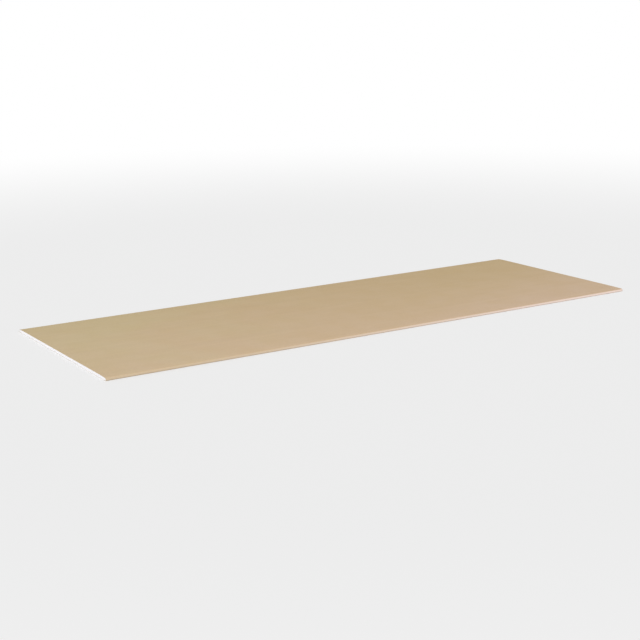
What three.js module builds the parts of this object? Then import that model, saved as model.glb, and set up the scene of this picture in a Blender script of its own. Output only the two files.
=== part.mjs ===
// A drywall sheet (gypsum plasterboard) with tapered, half-round long edges.
//
// Millimetres.  The sheet lies on its back: +X runs along it, +Y across it and +Z up through it, and
// the origin is the centre of the surface that it lies on.
//
// Plasterboard is made as one endless ribbon.  The face paper comes off its roll, is filled with
// gypsum slurry, folded up round both long edges and lapped onto the back, and the back paper is
// glued over the laps.  The ribbon is then cut across.  So each piece is one cross-section extruded
// from cut end to cut end, and the ends show the bare core between the two papers.

import * as THREE from "three";

// The sheet
const LENGTH = 2600; // from cut end to cut end
const WIDTH = 900; // over the two long edges
const THICKNESS = 12.5; // from face to back, papers included

// The papers
const FACE_PAPER = 0.35;
const BACK_PAPER = 0.35;
const BACK_MARGIN = 12; // the strip along the long edge that the back paper leaves bare
const GLUED_LAP = 13; // how far the face paper's lap reaches in under the back paper

// The long edge, from the face round to the back
const TAPER_WIDTH = 50; // from the long edge to where the face begins to slope
const TAPER_DEPTH = 1.5; // what the slope takes off the thickness at the long edge
const TAPER_BLEND_RADIUS = 300; // eases the flat face into the slope
const UPRIGHT = 1.3; // the flat strip between the round nose and the round heel
const HEEL_RADIUS = 3; // from the upright strip round to the back

const ARC_DIVISIONS = 8; // a path gives each arc twice this number of chords

// Every arc of the long edge is tangent to its neighbours, so the outline at any depth under the
// paper keeps the same centres and angles, and only the radii shrink.
const longEdge = WIDTH / 2;
const taperAngle = Math.atan(TAPER_DEPTH / TAPER_WIDTH);
const heelCentre = new THREE.Vector2(longEdge - HEEL_RADIUS, BACK_PAPER + HEEL_RADIUS);

// The nose takes up the height that is left between the upright strip and the slope, so its arc
// ends on the strip and touches the slope at the taper's angle.
const noseHeight = heelCentre.y + UPRIGHT;
const noseRadius =
  (THICKNESS - TAPER_DEPTH - noseHeight) / (1 / Math.cos(taperAngle) - Math.tan(taperAngle));
const noseCentre = new THREE.Vector2(longEdge - noseRadius, noseHeight);

const blendCentre = new THREE.Vector2(
  longEdge - TAPER_WIDTH - TAPER_BLEND_RADIUS * Math.tan(taperAngle / 2),
  THICKNESS - TAPER_BLEND_RADIUS,
);

const backPaperEdge = longEdge - BACK_MARGIN;
const lapEnd = backPaperEdge - GLUED_LAP;

/**
 * The line that the face paper follows, at a depth below its outer surface: from the end of one
 * lap, round the long edge, over the face, round the other long edge and back to the other lap.
 * A point's x is the place across the sheet, and its y the height.
 */
function wrapLine(depth) {
  const facing = Math.PI / 2;
  const sloping = facing - taperAngle;
  const half = new THREE.Path();
  half.absarc(blendCentre.x, blendCentre.y, TAPER_BLEND_RADIUS - depth, facing, sloping, true);
  half.absarc(noseCentre.x, noseCentre.y, noseRadius - depth, sloping, 0, true);
  half.absarc(heelCentre.x, heelCentre.y, HEEL_RADIUS - depth, 0, -facing, true);
  half.lineTo(lapEnd, BACK_PAPER + depth);
  const right = half.getPoints(ARC_DIVISIONS);
  const left = right.map((point) => new THREE.Vector2(-point.x, point.y));
  return [...left.reverse(), ...right];
}

/** The face paper: one sheet that covers the face and both long edges and ends in the two laps. */
function facePaperSection() {
  return new THREE.Shape([...wrapLine(0), ...wrapLine(FACE_PAPER).reverse()]);
}

/** The core fills the face paper, and between the laps it reaches down to the back paper. */
function coreSection() {
  return new THREE.Shape([
    ...wrapLine(FACE_PAPER),
    new THREE.Vector2(lapEnd, BACK_PAPER),
    new THREE.Vector2(-lapEnd, BACK_PAPER),
  ]);
}

/** The back paper: a flat strip, glued over the laps and stopping short of the long edges. */
function backPaperSection() {
  return new THREE.Shape([
    new THREE.Vector2(-backPaperEdge, 0),
    new THREE.Vector2(backPaperEdge, 0),
    new THREE.Vector2(backPaperEdge, BACK_PAPER),
    new THREE.Vector2(-backPaperEdge, BACK_PAPER),
  ]);
}

/** One piece of the ribbon: a cross-section, cut to the sheet's length. */
function ribbonPiece(name, section, material) {
  const geometry = new THREE.ExtrudeGeometry(section, { depth: LENGTH, bevelEnabled: false });
  const mesh = new THREE.Mesh(geometry, material);
  mesh.name = name;
  return mesh;
}

const gypsum = new THREE.MeshStandardMaterial({ color: 0xeceaeb, roughness: 0.95, metalness: 0 });
const faceLiner = new THREE.MeshStandardMaterial({ color: 0xc6b08e, roughness: 0.8, metalness: 0 });
const backLiner = new THREE.MeshStandardMaterial({ color: 0xb5a88f, roughness: 0.9, metalness: 0 });

const ribbon = new THREE.Group();
ribbon.add(ribbonPiece("gypsum_core", coreSection(), gypsum));
ribbon.add(ribbonPiece("face_paper", facePaperSection(), faceLiner));
ribbon.add(ribbonPiece("back_paper", backPaperSection(), backLiner));

// A section is drawn across the sheet and up, and extruded away from its own plane.  This third of
// a turn about the space diagonal lays across on Y, up on Z and the extrusion on X.
ribbon.quaternion.set(0.5, 0.5, 0.5, 0.5);
ribbon.position.x = -LENGTH / 2;

const sheet = new THREE.Group();
sheet.name = "drywall_sheet";
sheet.add(ribbon);

export default sheet;
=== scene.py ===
"""The looks of a drywall sheet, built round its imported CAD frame.

Metres, in the frame's own axes: the sheet lies on its back, +X along it, +Y across it, +Z up.
Each of its three pieces gets a finer mesh with the outline of its CAD node.  The gypsum core has
sawn ends with open bubbles and crumbled arrises, the face paper has creases and small knocks along
its folded edges, and the back paper has slit edges that wander a little.
"""

from math import radians

import bmesh
import bpy
import numpy as np
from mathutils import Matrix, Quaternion, Vector, noise


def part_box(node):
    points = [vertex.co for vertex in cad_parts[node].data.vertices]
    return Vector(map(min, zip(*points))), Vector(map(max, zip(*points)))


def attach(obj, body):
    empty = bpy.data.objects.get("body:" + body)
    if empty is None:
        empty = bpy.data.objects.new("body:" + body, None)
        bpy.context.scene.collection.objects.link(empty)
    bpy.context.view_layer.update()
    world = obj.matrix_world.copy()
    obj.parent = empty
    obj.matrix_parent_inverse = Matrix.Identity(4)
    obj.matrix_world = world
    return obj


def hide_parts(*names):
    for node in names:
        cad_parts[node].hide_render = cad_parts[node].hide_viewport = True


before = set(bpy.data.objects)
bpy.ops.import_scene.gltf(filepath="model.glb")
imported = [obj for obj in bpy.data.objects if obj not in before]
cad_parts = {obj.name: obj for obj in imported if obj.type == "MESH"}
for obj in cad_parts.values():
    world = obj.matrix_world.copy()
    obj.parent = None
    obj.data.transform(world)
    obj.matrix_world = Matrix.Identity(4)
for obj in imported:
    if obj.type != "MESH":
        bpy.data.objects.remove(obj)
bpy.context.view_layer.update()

MM = 0.001
TINY = 0.01 * MM  # closer than this is the same place

# ---------------------------------------------------------------------------------------------
# Outlines, read from the frame
# ---------------------------------------------------------------------------------------------

LAP_STEP = 0.2 * MM  # how far the core leans in where it steps down at a lap's end


def end_outline(node):
    """The outline of a CAD node's low-X end: its (y, z) points in order, as a closed loop."""
    mesh = bmesh.new()
    mesh.from_mesh(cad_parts[node].data)
    bmesh.ops.remove_doubles(mesh, verts=mesh.verts, dist=TINY)
    end_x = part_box(node)[0].x

    def on_end(face):
        return all(abs(v.co.x - end_x) < TINY for v in face.verts)

    beside = {}
    for edge in mesh.edges:
        if sum(on_end(f) for f in edge.link_faces) == 1:
            a, b = edge.verts
            beside.setdefault(a, []).append(b)
            beside.setdefault(b, []).append(a)
    start = next(iter(beside))
    loop = [start, beside[start][0]]
    while loop[-1] is not start:
        loop.append(next(v for v in beside[loop[-1]] if v is not loop[-2]))
    outline = np.array([(v.co.y, v.co.z) for v in loop[:-1]])
    mesh.free()
    return outline


def lap_end(loop, side):
    """The number of the lowest point at the end of a lap, at the left (-1) or the right (1)."""
    lowest = loop[:, 1].min() + TINY
    underneath = [i for i, (y, z) in enumerate(loop) if z < lowest and y * side > 0]
    return min(underneath, key=lambda i: abs(loop[i, 0]))


def wrap_outline():
    """The line that the outside of the face paper follows, from the end of its left lap over the
    face to the end of its right lap."""
    loop = end_outline("face_paper")
    loop = np.roll(loop, -lap_end(loop, -1), axis=0)
    if abs(loop[1, 1] - loop[0, 1]) > TINY:  # it sets off through the paper and not along the lap
        loop = np.roll(loop[::-1], 1, axis=0)
    return loop[: lap_end(loop, 1) + 1]


def core_chains():
    """The upper and the lower part of the core's outline, each from left to right.  Where the core
    steps down at a lap's end, the step leans in a little, so that no two points are level in Y."""
    loop = end_outline("gypsum_core")
    widest = loop[:, 0] > loop[:, 0].max() - TINY
    above = loop[:, 1] > loop[widest, 1].mean()
    chains = []
    for part in (above, ~above):
        start = np.flatnonzero(part & ~np.roll(part, 1))[0]
        chain = np.roll(loop, -start, axis=0)[: part.sum()]
        chain = chain if chain[0, 0] < 0 else chain[::-1].copy()
        for i in np.flatnonzero(np.diff(chain[:, 0]) < TINY):
            foot = i + np.argmin(chain[i : i + 2, 1])
            chain[foot, 0] -= np.sign(chain[foot, 0]) * LAP_STEP
        chains.append(chain)
    return chains


# ---------------------------------------------------------------------------------------------
# Mesh helpers
# ---------------------------------------------------------------------------------------------

MAP_NAME = "OFBake"  # an export bakes a piece's material through its map of this name
MAP_GAP = 0.003  # round each strip of a map, whose sides are 1 long
FINE_SHARE = 0.15  # of a map's length, shared out by the number of points and not by distance


def added(name, data):
    """A new object in the scene, with that data."""
    item = bpy.data.objects.new(name, data)
    bpy.context.scene.collection.objects.link(item)
    return item


def distances_along(line):
    """How far along a line each of its points lies."""
    steps = np.linalg.norm(np.diff(line, axis=0), axis=1)
    return np.concatenate([[0], np.cumsum(steps)])


def quads(grid):
    """What a grid of vertices holds, such as their numbers, at the four corners of each quad."""
    corners = (grid[:-1, :-1], grid[1:, :-1], grid[1:, 1:], grid[:-1, 1:])
    return np.stack(corners, axis=2).reshape(-1, 4, *grid.shape[2:])


def places_on_map(line):
    """Where the points of a line lie along a map, from 0 to 1.  It goes by distance, and a little
    by their number, so that the map is fine where the mesh is."""
    by_distance = distances_along(line)
    by_number = np.linspace(0, 1, len(line))
    return by_distance / by_distance[-1] * (1 - FINE_SHARE) + by_number * FINE_SHARE


def lay_out(grid, strips, low, high):
    """Where the corners of a grid's quads lie on a map.  The grid is cut across its first axis into
    strips as long as the map is wide, which lie one above the other between two heights."""
    rows, columns = grid.shape[:2]
    along, across = places_on_map(grid[:, columns // 2]), places_on_map(grid[rows // 2])
    cuts = np.linspace(0, rows - 1, strips + 1).astype(int)
    heights = np.linspace(low, high, strips + 1)
    corners = []
    for start, end, bottom, top in zip(cuts[:-1], cuts[1:], heights[:-1], heights[1:]):
        u = np.interp(along[start : end + 1], along[[start, end]], [MAP_GAP, 1 - MAP_GAP])
        v = np.interp(across, [0, 1], [bottom + MAP_GAP, top - MAP_GAP])
        corners.append(quads(np.stack(np.meshgrid(u, v, indexing="ij"), axis=-1)))
    return np.concatenate(corners)


def solid_between(name, one, other, sharp_angle, strips, room):
    """A closed mesh between two grids of points of the same shape, joined all round their rims.  On
    its map each grid has that many strips and that share of the room, and the rim has the rest."""
    rows, columns = one.shape[:2]
    ids = np.arange(rows * columns).reshape(rows, columns)
    rim = np.concatenate([ids[:, 0], ids[-1, 1:], ids[-2::-1, -1], ids[0, -2::-1]])
    points = np.concatenate([one.reshape(-1, 3), other.reshape(-1, 3)])
    joint = np.stack([rim, rim + ids.size])
    faces = np.concatenate([quads(ids), quads(ids + ids.size), quads(joint)])
    corners = np.concatenate([
        lay_out(one, strips[0], 0, room[0]),
        lay_out(other, strips[1], room[0], sum(room)),
        lay_out(points[joint], 1, sum(room), 1),
    ])

    mesh = bpy.data.meshes.new(name)
    mesh.from_pydata(points.tolist(), [], faces.tolist())
    mesh.uv_layers.new(name=MAP_NAME).uv.foreach_set("vector", corners.ravel())
    facing = bmesh.new()
    facing.from_mesh(mesh)
    bmesh.ops.recalc_face_normals(facing, faces=facing.faces)
    facing.to_mesh(mesh)
    facing.free()
    mesh.shade_smooth()
    mesh.set_sharp_from_angle(angle=sharp_angle)
    return added(name, mesh)


def spread(values, most):
    """The same values, with more put evenly between them so that no step is over the given size."""
    steps = [
        np.linspace(a, b, max(1, int(np.ceil((b - a) / most))), endpoint=False)
        for a, b in zip(values[:-1], values[1:])
    ]
    return np.concatenate([*steps, values[-1:]])


def wobble(x, y, z, size):
    """Smooth noise from 0 to 1 at one point, with features about that size."""
    return 0.5 + 0.5 * noise.noise(Vector((x, y, z)) / size)


def ease(value, start, end):
    """0 at start, 1 at end and an S-curve between; start may be above end."""
    share = min(1.0, max(0.0, (value - start) / (end - start)))
    return share * share * (3 - 2 * share)


# ---------------------------------------------------------------------------------------------
# The gypsum core
# ---------------------------------------------------------------------------------------------

CORE_COLUMN = 0.9 * MM  # the end grids' step across the sheet
CLOSEST_COLUMNS = CORE_COLUMN / 5
CORE_ROWS = 13  # the end grids' number of steps through the sheet
CORE_SHARP = radians(60)  # an edge that bends more than this is sharp
SAW_DEPTH, SAW_SIZE = 0.12 * MM, 45 * MM  # how the saw wandered
GRAIN_DEPTH, GRAIN_SIZE = 0.16 * MM, 1.7 * MM
BUBBLE_SPACING = 5 * MM
SMALLEST_BUBBLE, LARGEST_BUBBLE = 0.16 * MM, 1.2 * MM  # their radii
BUBBLE_DEPTH = 0.8 * MM
BUBBLE_BED = 0.5  # the share of its radius within which a bubble has its full depth
CRUMBLE_WIDTH, CRUMBLE_DEPTH, CRUMBLE_SIZE = 1.4 * MM, 0.5 * MM, 6 * MM
CORE_STRIPS = (6, 6)  # the map is for the two sawn ends, and the papers hide the rest
CORE_ROOM = (0.47, 0.47)


def sawn_depth(x, y, z, to_paper):
    """How far in from the true end a point of a sawn end lies."""
    depth = SAW_DEPTH * wobble(x, y, 0, SAW_SIZE) + GRAIN_DEPTH * wobble(x, y, z, GRAIN_SIZE)
    distances, centres = noise.voronoi(Vector((x, y, z)) / BUBBLE_SPACING)
    size = abs(noise.cell(centres[0] * BUBBLE_SPACING / TINY))  # drawn by where the bubble lies
    radius = LARGEST_BUBBLE * size
    if radius > SMALLEST_BUBBLE:
        to_centre = distances[0] * BUBBLE_SPACING
        depth += BUBBLE_DEPTH * ease(to_centre, radius, radius * BUBBLE_BED)
    crumble = ease(to_paper, CRUMBLE_WIDTH, 0)
    return depth + CRUMBLE_DEPTH * crumble * wobble(x, y, z, CRUMBLE_SIZE)


def core_columns(upper, lower):
    """The places across the sheet where the end grids have a column: the outline's own points and
    an even grain between them, with no two too close."""
    low, high = upper[0, 0], upper[-1, 0]
    wanted = np.concatenate([upper[:, 0], lower[:, 0], np.arange(low, high, CORE_COLUMN)])
    columns = [low]
    for y in np.sort(wanted):
        if min(y - columns[-1], high - y) > CLOSEST_COLUMNS:
            columns.append(y)
    return np.array([*columns, high])


def gypsum_core():
    """The core: a grid over each sawn end, joined along the sides that the papers cover."""
    low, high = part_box("gypsum_core")
    upper, lower = core_chains()
    columns = core_columns(upper, lower)
    bottoms = np.interp(columns, lower[:, 0], lower[:, 1])
    tops = np.interp(columns, upper[:, 0], upper[:, 1])
    shares = np.linspace(0, 1, CORE_ROWS + 1)

    def sawn_end(end_x, inwards):
        grid = np.empty((len(columns), len(shares), 3))
        for i, (y, bottom, top) in enumerate(zip(columns, bottoms, tops)):
            for j, z in enumerate(bottom + (top - bottom) * shares):
                depth = sawn_depth(end_x, y, z, min(top - z, z - bottom))
                grid[i, j] = end_x + inwards * depth, y, z
        return grid

    near, far = sawn_end(low.x, 1), sawn_end(high.x, -1)
    return solid_between("sawn_gypsum_core", near, far, CORE_SHARP, CORE_STRIPS, CORE_ROOM)


# ---------------------------------------------------------------------------------------------
# The face paper
# ---------------------------------------------------------------------------------------------

FACE_COLUMN = 40 * MM  # the widest step across the flat face
EDGE_COLUMN = 4 * MM  # and across the slopes and the laps
PAPER_ROW = 14 * MM  # the widest step along the sheet
FOLD_REACH = 10 * MM  # how far the folds reach in from the long edge
STRAIGHT_CHORD = 10  # a chord this many times as long as the middling one is no part of an arc
CREASE_DEPTH, CREASE_WIDTH = 0.14 * MM, 0.7 * MM  # where the paper was scored to fold
CREASE_LINES = (-1, -0.5, 0.5, 1)  # the mesh's lines beside each crease, in widths of it
KNOCK_DEPTH, KNOCK_SIZE = 0.25 * MM, 34 * MM
KNOCK_REACH = (10 * MM, 4 * MM)  # how far in the knocks begin, and where they are at full depth
KNOCK_NOISE = (0.6, 0.85)  # the noise at which a knock begins, and is at full depth
PAPER_SHARP = radians(50)
PAPER_STRIPS = (2, 1)  # a paper's map is for its outer side
PAPER_ROOM = (0.92, 0.05)


def outward_of(outline, distances):
    """The unit vector out of the sheet at each point of its left-to-right outline."""
    ahead = np.gradient(outline, distances, axis=0)
    ahead /= np.linalg.norm(ahead, axis=1, keepdims=True)
    return np.stack([-ahead[:, 1], ahead[:, 0]], axis=-1)


def long_straights(marks):
    """The numbers of the outline's chords that are far longer than the chords of its arcs."""
    gaps = np.diff(marks)
    return np.flatnonzero(gaps > STRAIGHT_CHORD * np.median(gaps))


def fold_marks(outline, straights):
    """The outline's points where an arc of the folded edge meets a straight: the scored lines."""
    ends = {n + k for n in straights for k in (0, 1)}
    edge = outline[:, 0].max()
    return sorted(n for n in ends if edge - abs(outline[n, 0]) < FOLD_REACH)


def face_paper_places(marks, face, creases):
    """Where the paper's mesh has a line, as distances along its outline: at each of the outline's
    own points, at each crease and beside it, and in even steps between."""
    beside = [c + k * CREASE_WIDTH for c in creases for k in CREASE_LINES]
    wanted = np.sort(np.concatenate([marks, beside]))
    wanted = wanted[(wanted >= 0) & (wanted <= marks[-1])]
    places = [wanted[0]]
    for end in wanted[1:]:
        start = places[-1]
        if end - start < TINY:
            continue
        on_face = start > marks[face] - TINY and end < marks[face + 1] + TINY
        places.extend(spread(np.array([start, end]), FACE_COLUMN if on_face else EDGE_COLUMN)[1:])
    return np.array(places)


def face_paper():
    """The face paper: its outer side has creases and knocks, and its inner one lies on the core."""
    low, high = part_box("face_paper")
    thickness = high.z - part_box("gypsum_core")[1].z
    coarse = wrap_outline()
    marks = distances_along(coarse)
    straights = long_straights(marks)
    face = max(straights, key=lambda n: marks[n + 1] - marks[n])
    creases = [marks[n] for n in fold_marks(coarse, straights)]
    places = face_paper_places(marks, face, creases)
    line = np.stack([np.interp(places, marks, coarse[:, k]) for k in (0, 1)], axis=-1)
    out = outward_of(line, places)

    x_stops = spread(np.array([low.x, high.x]), PAPER_ROW)
    outside = np.empty((len(x_stops), len(line), 3))
    inside = np.empty_like(outside)
    for j, ((y, z), (out_y, out_z), place) in enumerate(zip(line, out, places)):
        crease = CREASE_DEPTH * max(ease(abs(place - c), CREASE_WIDTH, 0) for c in creases)
        folded = ease(high.y - abs(y), *KNOCK_REACH)
        for i, x in enumerate(x_stops):
            knock = folded * ease(wobble(x, y, z, KNOCK_SIZE), *KNOCK_NOISE)
            depth = max(crease, KNOCK_DEPTH * knock)
            outside[i, j] = x, y - out_y * depth, z - out_z * depth
            inside[i, j] = x, y - out_y * thickness, z - out_z * thickness
    name = "folded_face_paper"
    return solid_between(name, outside, inside, PAPER_SHARP, PAPER_STRIPS, PAPER_ROOM)


# ---------------------------------------------------------------------------------------------
# The back paper
# ---------------------------------------------------------------------------------------------

SLIT_DEPTH, SLIT_SIZE = 0.5 * MM, 70 * MM  # how its slit edges wander
SLIT_ROW = 10 * MM
SLIT_COLUMN = 40 * MM  # the paper beside a slit edge that gives way to it


def back_paper():
    """The back paper: a flat strip between two slit edges."""
    low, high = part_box("back_paper")
    x_stops = spread(np.array([low.x, high.x]), SLIT_ROW)
    columns = (low.y, low.y + SLIT_COLUMN, high.y - SLIT_COLUMN, high.y)
    under = np.empty((len(x_stops), len(columns), 3))
    for i, x in enumerate(x_stops):
        for j, y in enumerate(columns):
            slit = SLIT_DEPTH * wobble(x, y, 0, SLIT_SIZE) if y in (low.y, high.y) else 0
            under[i, j] = x, y - np.sign(y) * slit, low.z
    upper = under.copy()
    upper[:, :, 2] = high.z
    return solid_between("slit_back_paper", under, upper, PAPER_SHARP, PAPER_STRIPS, PAPER_ROOM)


# ---------------------------------------------------------------------------------------------
# Materials
# ---------------------------------------------------------------------------------------------


def screen(red, green, blue):
    """A colour as it shows on screen, 0 to 255 each, as Blender's linear RGBA."""
    shares = [value / 255 for value in (red, green, blue)]
    return (*[s / 12.92 if s < 0.04045 else ((s + 0.055) / 1.055) ** 2.4 for s in shares], 1.0)


WHITE = (1.0, 1.0, 1.0, 1.0)
MIX_SHARE, MIX_ONE, MIX_OTHER, MIXED = 0, 6, 7, 2  # the Mix node's sockets for two colours


class Nodes:
    """A tree of shader nodes, with a short call for making one."""

    def __init__(self, tree):
        self.tree = tree

    def node(self, kind, inputs=None, **settings):
        """A shader node, with its settings and with each named input set or linked."""
        node = self.tree.nodes.new("ShaderNode" + kind)
        for name, value in settings.items():
            setattr(node, name, value)
        for name, value in (inputs or {}).items():
            self.feed(node.inputs[name], value)
        return node

    def feed(self, socket, value):
        """Links a socket to another node's output, or sets it to a number or a colour."""
        if isinstance(value, bpy.types.NodeSocket):
            self.tree.links.new(value, socket)
        else:
            socket.default_value = value

    def math(self, operation, one, other):
        return self.node("Math", {0: one, 1: other}, operation=operation).outputs[0]

    def sum(self, one, other):
        return self.math("ADD", one, other)

    def product(self, one, other):
        return self.math("MULTIPLY", one, other)

    def seen_directly(self):
        """1 for a ray from the camera, or one that a gloss or a glass sends on, and 0 for light."""
        path = self.node("LightPath").outputs
        sent_on = self.math("MAXIMUM", path["Is Glossy Ray"], path["Is Transmission Ray"])
        return self.math("MAXIMUM", path["Is Camera Ray"], sent_on)

    def mix_shaders(self, share, one, other):
        """Two shaders mixed: the share is the other one's."""
        shaders = {0: share, 1: one.outputs[0], 2: other.outputs[0]}
        return self.node("MixShader", shaders).outputs[0]


class Finish(Nodes):
    """A Principled material painted by the place on the object.  A noise here is a value that
    mostly lies near 0.5."""

    SPREAD = 0.25  # how far to each side of 0.5 a noise is followed, unless a call says another
    FELT_TURN = 0.5  # radians

    def __init__(self, name):
        self.material = bpy.data.materials.new(name)
        self.material.use_nodes = True
        super().__init__(self.material.node_tree)
        self.shader = self.tree.nodes["Principled BSDF"]
        self.place = self.node("TexCoord").outputs["Object"]

    def sized(self, size, turn=0.0):
        """The place on the object in axes turned about Z, and measured in that size, which may be
        one for each axis."""
        sizes = size if isinstance(size, tuple) else (size, size, size)
        inputs = {"Vector": self.place, "Rotation": (0, 0, turn), "Scale": sizes}
        return self.node("Mapping", inputs, vector_type="TEXTURE").outputs["Vector"]

    def noise(self, size, detail=2.0, turn=0.0):
        """A cloudy noise."""
        inputs = {"Vector": self.sized(size, turn), "Scale": 1.0, "Detail": detail}
        return self.node("TexNoise", inputs).outputs["Fac"]

    def felt(self, length, width, detail):
        """A noise drawn out into fibres that cross each other, half of them along X."""
        size = (length, width, width)
        turns = (0.0, self.FELT_TURN, -self.FELT_TURN)
        along, left, right = (self.noise(size, detail, turn) for turn in turns)
        crossing = self.product(self.sum(left, right), 0.25)
        return self.sum(self.product(along, 0.5), crossing)

    def spots(self, size, uneven, turn=0.0):
        """The distance to the nearest of many scattered points, as a share of that size, made more
        or less by up to the uneven share, so that the spots differ."""
        inputs = {"Vector": self.sized(size, turn), "Scale": 1.0}
        distance = self.node("TexVoronoi", inputs).outputs["Distance"]
        return self.sum(distance, self.swing(self.noise(size), -uneven, uneven))

    def ramp(self, value, start, end, low=0.0, high=1.0):
        """low up to start, high from end, and an S-curve between."""
        inputs = {"Value": value, "From Min": start, "From Max": end, "To Min": low, "To Max": high}
        return self.node("MapRange", inputs, interpolation_type="SMOOTHSTEP").outputs["Result"]

    def swing(self, noise, low, high, spread=SPREAD):
        """A noise made to run from low to high, as it goes from one side of 0.5 to the other."""
        return self.ramp(noise, 0.5 - spread, 0.5 + spread, low, high)

    def mix(self, share, one, other, blend="MIX"):
        """Two colours mixed; a number in place of a colour is a grey."""
        inputs = {MIX_SHARE: share, MIX_ONE: one, MIX_OTHER: other}
        return self.node("Mix", inputs, data_type="RGBA", blend_type=blend).outputs[MIXED]

    def times(self, colour, value):
        return self.mix(1.0, colour, value, "MULTIPLY")

    def varied(self, colour, noise, low, high, spread=SPREAD):
        """The colour times a noise that runs from low to high."""
        return self.times(colour, self.swing(noise, low, high, spread))

    def flecked(self, colour, fleck, size, reach, uneven, turns):
        """The colour with flecks of another in it, which lie at those turns.  The reach is where
        a fleck fades out, and where it is full."""
        for turn in turns:
            share = self.ramp(self.spots(size, uneven, turn), *reach)
            colour = self.mix(share, colour, fleck)
        return colour

    def axes(self):
        """The place on the object as three numbers: X, Y and Z."""
        return self.node("SeparateXYZ", {"Vector": self.place}).outputs[:]

    def along(self, way):
        """How far a place lies along a slant, which is given as shares of X and Y."""
        x, y, _ = self.axes()
        return self.sum(self.product(x, way[0]), self.product(y, way[1]))

    def bump(self, height, depth, under=None):
        """The normals of a relief of that depth, which may lie over another one."""
        inputs = {"Height": height, "Strength": 1.0, "Distance": depth}
        if under is not None:
            inputs["Normal"] = under
        return self.node("Bump", inputs).outputs["Normal"]

    def finish(self, colour, roughness, normal):
        self.feed(self.shader.inputs["Base Color"], colour)
        self.feed(self.shader.inputs["Roughness"], roughness)
        self.feed(self.shader.inputs["Normal"], normal)
        return self.material


OLIVE_TAN, ROSY_TAN, PINK_TAN = screen(196, 176, 141), screen(198, 172, 141), screen(203, 176, 153)
# The first of these is painted shade, which darkens the tan towards the far right corner.
PAINTED_CORNER_SHADE, CLOUD_SHADE = screen(232, 232, 211), screen(253, 252, 247)  # the tan times these
FACE_FLECK = screen(164, 141, 110)
# The next two colours are a painted highlight on the folded edges, for the light and sheen they
# catch.
CREAM_EDGE_HIGHLIGHT, PALE_EDGE_HIGHLIGHT = screen(187, 167, 140), screen(212, 193, 183)

# The tan drifts along three slants, to rosy, to pink and darker; the darkening is painted shade.
# A WAY gives a slant as shares of X and Y, and a REACH says from where to where along it the
# tan changes, in metres.  The change to rosy wanders by up to ROSY_WANDER, in bends of about the
# size ROSY_BENDS.
ROSY_WAY, ROSY_REACH = (1.0, -0.8), (-1.6, 0.0)
ROSY_WANDER, ROSY_BENDS = 0.35, 0.35
PINK_WAY, PINK_REACH = (0.5, -1.0), (0.2, 1.0)
PAINTED_SHADE_WAY, PAINTED_SHADE_REACH = (0.35, 1.0), (-1.1, 1.1)

HIGHLIGHT_TOP = (1.6 * MM, 4.5 * MM)  # how far below the face the painted highlight begins, and where it is full
HIGHLIGHT_FOOT = (0.5 * MM, 2 * MM)  # how far above the floor it ends, and where it is full
HIGHLIGHT_PALING = (-1.2, 1.2)  # where along the sheet it goes from cream to pale


def face_liner():
    """Smooth tan liner paper.  Its tan drifts along the sheet from olive to rosy, and to pink at
    one corner, and painted shade darkens it a little towards the next.  The folded edges carry a
    painted highlight, lighter and paler, cream at one end and paler towards the other.  Over
    it all lie cloudy pulp, felted fibres, faint streaks and a few flecks."""
    paint = Finish("face_liner")
    wander = paint.swing(paint.noise(ROSY_BENDS), -ROSY_WANDER, ROSY_WANDER)
    rosy = paint.ramp(paint.sum(paint.along(ROSY_WAY), wander), *ROSY_REACH)
    pink = paint.ramp(paint.along(PINK_WAY), *PINK_REACH)
    # painted shade: the tan darkens towards the far right corner
    painted_shade = paint.ramp(paint.along(PAINTED_SHADE_WAY), *PAINTED_SHADE_REACH)
    clouds = paint.swing(paint.noise(130 * MM), low=0.0, high=1.0, spread=0.2)
    colour = paint.mix(rosy, OLIVE_TAN, ROSY_TAN)
    colour = paint.mix(pink, colour, PINK_TAN)
    colour = paint.mix(painted_shade, colour, paint.times(colour, PAINTED_CORNER_SHADE))
    colour = paint.mix(clouds, colour, paint.times(colour, CLOUD_SHADE))

    x, _, height = paint.axes()
    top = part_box("face_paper")[1].z
    # Painted highlight: the folded edges painted lighter and paler, cream at one end, paler at the
    # other.
    below_taper = paint.ramp(height, *(top - depth for depth in HIGHLIGHT_TOP))
    above_heel = paint.ramp(height, *HIGHLIGHT_FOOT)
    edge_highlight = paint.mix(paint.ramp(x, *HIGHLIGHT_PALING), CREAM_EDGE_HIGHLIGHT, PALE_EDGE_HIGHLIGHT)
    colour = paint.mix(paint.product(below_taper, above_heel), colour, edge_highlight)

    pulp = paint.noise(5 * MM, detail=3)
    fibres = paint.felt(length=6 * MM, width=0.5 * MM, detail=4)
    streaks = paint.noise((900 * MM, 18 * MM, 18 * MM))
    colour = paint.varied(colour, pulp, low=0.97, high=1.03)
    colour = paint.varied(colour, fibres, low=0.93, high=1.07, spread=0.2)
    colour = paint.varied(colour, streaks, low=0.985, high=1.015)
    colour = paint.flecked(
        colour,
        FACE_FLECK,
        size=(9 * MM, 3 * MM, 3 * MM),
        reach=(0.05, 0.01),
        uneven=0.06,
        turns=(0.3, -0.7),
    )

    roughness = paint.swing(pulp, low=0.72, high=0.86, spread=0.3)
    normal = paint.bump(fibres, 0.05 * MM, under=paint.bump(pulp, 0.05 * MM))
    return paint.finish(colour, roughness, normal)


GYPSUM_WHITE, GYPSUM_GREY = screen(238, 236, 238), screen(233, 232, 235)
# Painted shade: the colour in the pores' hollows is multiplied by this.
PAINTED_PORE_SHADE = (0.86, 0.86, 0.86, 1.0)


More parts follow.
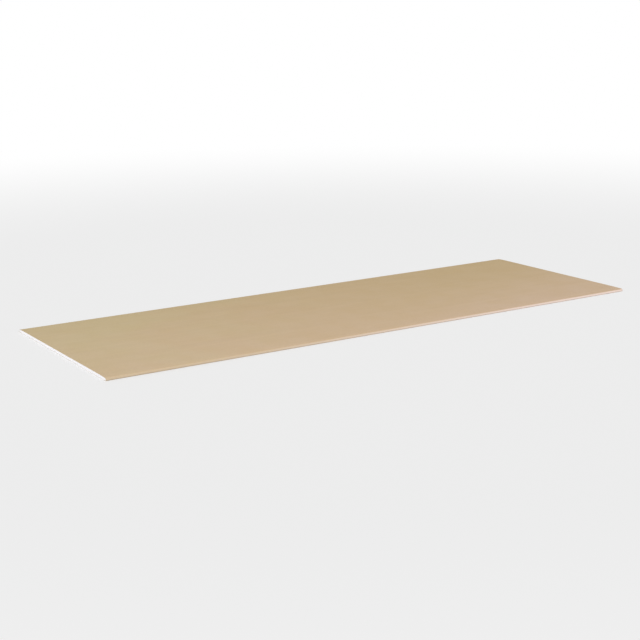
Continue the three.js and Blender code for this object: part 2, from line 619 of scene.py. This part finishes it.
def gypsum():
    """Set gypsum, sawn: white with faint cool grey grain, and painted shade in its foam bubbles."""
    paint = Finish("gypsum")
    clouds = paint.swing(paint.noise(20 * MM), low=0.0, high=1.0, spread=0.15)
    grain = paint.noise(1.1 * MM, detail=5)
    strokes = paint.noise((0.5 * MM, 0.5 * MM, 6 * MM), detail=3)
    outside_large = paint.ramp(paint.spots(2.2 * MM, uneven=0.16), start=0.0, end=0.2)
    outside_small = paint.ramp(paint.spots(0.9 * MM, uneven=0.2), start=0.0, end=0.22)
    outside_pores = paint.product(outside_large, outside_small)

    colour = paint.mix(clouds, GYPSUM_WHITE, GYPSUM_GREY)
    colour = paint.varied(colour, grain, low=0.95, high=1.02, spread=0.2)
    colour = paint.varied(colour, strokes, low=0.97, high=1.01, spread=0.2)
    # painted shade in the pores' hollows
    colour = paint.mix(outside_pores, paint.times(colour, PAINTED_PORE_SHADE), colour)

    roughness = paint.swing(grain, low=0.88, high=0.97, spread=0.2)
    large_pores = paint.bump(outside_large, 0.25 * MM)
    pores = paint.bump(outside_small, 0.1 * MM, under=large_pores)
    return paint.finish(colour, roughness, paint.bump(grain, 0.25 * MM, under=pores))


BACK_PALE, BACK_DARK = screen(184, 170, 146), screen(178, 164, 141)
BACK_FLECK = screen(140, 122, 98)


def back_liner():
    """Plain recycled liner: greyer and rougher than the face, with more and darker fibres."""
    paint = Finish("back_liner")
    clouds = paint.swing(paint.noise(30 * MM, detail=3), low=0.0, high=1.0, spread=0.2)
    pulp = paint.noise(4 * MM, detail=4)
    fibres = paint.felt(length=5 * MM, width=0.6 * MM, detail=5)
    colour = paint.mix(clouds, BACK_PALE, BACK_DARK)
    colour = paint.varied(colour, pulp, low=0.94, high=1.05)
    colour = paint.varied(colour, fibres, low=0.9, high=1.08, spread=0.2)
    colour = paint.flecked(
        colour,
        BACK_FLECK,
        size=(7 * MM, 2 * MM, 2 * MM),
        reach=(0.09, 0.03),
        uneven=0.08,
        turns=(0.5, -0.4),
    )

    roughness = paint.swing(pulp, low=0.82, high=0.95, spread=0.3)
    normal = paint.bump(fibres, 0.06 * MM, under=paint.bump(pulp, 0.08 * MM))
    return paint.finish(colour, roughness, normal)


# ---------------------------------------------------------------------------------------------
# Studio
# ---------------------------------------------------------------------------------------------

CAMERA_PLACE = Vector((-3.131, -4.836, 1.361))
CAMERA_AIM = Vector((-0.155, -0.108, 0.0))
CAMERA_ROLL = radians(-0.79)
CAMERA_LENS = 75.0  # millimetres, on a sensor 36 mm wide

SKY_LIGHT = 0.70
SUN_WAY = Vector((-0.58, -0.68, 0.45))  # from the sheet to the sun
SUN_LIGHT = 2.0  # W/m2
SUN_WIDTH = radians(40)  # wide, so that its shadows are soft

FLOOR_GREY = screen(238, 238, 238)
FLOOR_RADIUS = 60.0
FLOOR_SIDES = 96
FLOOR_FADE = (2.2, 7.0)  # how far out the floor is still grey, and where it has turned white


def studio_world():
    """An even white sky that lights at SKY_LIGHT and shows as plain white."""
    world = bpy.data.worlds.new("studio")
    world.use_nodes = True
    world.node_tree.nodes.clear()
    sky = Nodes(world.node_tree)
    light = sky.node("Background", {"Color": WHITE, "Strength": SKY_LIGHT})
    shown = sky.node("Background", {"Color": WHITE, "Strength": 1.0})
    sky.node("OutputWorld", {"Surface": sky.mix_shaders(sky.seen_directly(), light, shown)})
    bpy.context.scene.world = world


def studio_floor():
    """A pale floor under the sheet, which turns into plain white far out."""
    circle = bmesh.new()
    bmesh.ops.create_circle(circle, cap_ends=True, segments=FLOOR_SIDES, radius=FLOOR_RADIUS)
    mesh = bpy.data.meshes.new("studio_floor")
    circle.to_mesh(mesh)
    circle.free()
    floor = added("studio_floor", mesh)
    floor.location.z = -TINY

    paint = Finish("studio_floor")
    paint.feed(paint.shader.inputs["Base Color"], FLOOR_GREY)
    paint.feed(paint.shader.inputs["Roughness"], 1.0)
    paint.feed(paint.shader.inputs["Specular IOR Level"], 0.0)
    white = paint.node("Emission", {"Color": WHITE, "Strength": 1.0})
    radius = paint.node("VectorMath", {0: paint.place}, operation="LENGTH").outputs["Value"]
    share = paint.product(paint.ramp(radius, *FLOOR_FADE), paint.seen_directly())
    surface = paint.tree.nodes["Material Output"].inputs["Surface"]
    paint.feed(surface, paint.mix_shaders(share, paint.shader, white))
    mesh.materials.append(paint.material)


def studio_sun():
    """One even light from the left of the camera, wide enough for a soft shadow."""
    data = bpy.data.lights.new("key", "SUN")
    data.angle = SUN_WIDTH
    data.energy = SUN_LIGHT
    lamp = added("key", data)
    lamp.rotation_mode = "QUATERNION"
    lamp.rotation_quaternion = SUN_WAY.to_track_quat("Z", "Y")


def photo_camera():
    """The photo's viewing angle, with the sheet in the middle of the frame."""
    data = bpy.data.cameras.new("camera")
    data.lens = CAMERA_LENS
    camera = added("camera", data)
    camera.location = CAMERA_PLACE
    camera.rotation_mode = "QUATERNION"
    level = (CAMERA_AIM - CAMERA_PLACE).to_track_quat("-Z", "Y")
    camera.rotation_quaternion = level @ Quaternion((0, 0, 1), CAMERA_ROLL)
    bpy.context.scene.camera = camera


# ---------------------------------------------------------------------------------------------
# The scene
# ---------------------------------------------------------------------------------------------

PIECES = (
    (gypsum_core, gypsum, "gypsum_core", "gypsum"),
    (face_paper, face_liner, "face_paper", "face_liner"),
    (back_paper, back_liner, "back_paper", "back_liner"),
)

for make_piece, make_material, node, slot in PIECES:
    piece = make_piece()
    piece.data.materials.append(make_material())
    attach(piece, "root")
    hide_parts(node)

studio_world()
studio_floor()
studio_sun()
photo_camera()
bpy.context.scene.view_settings.view_transform = "Standard"
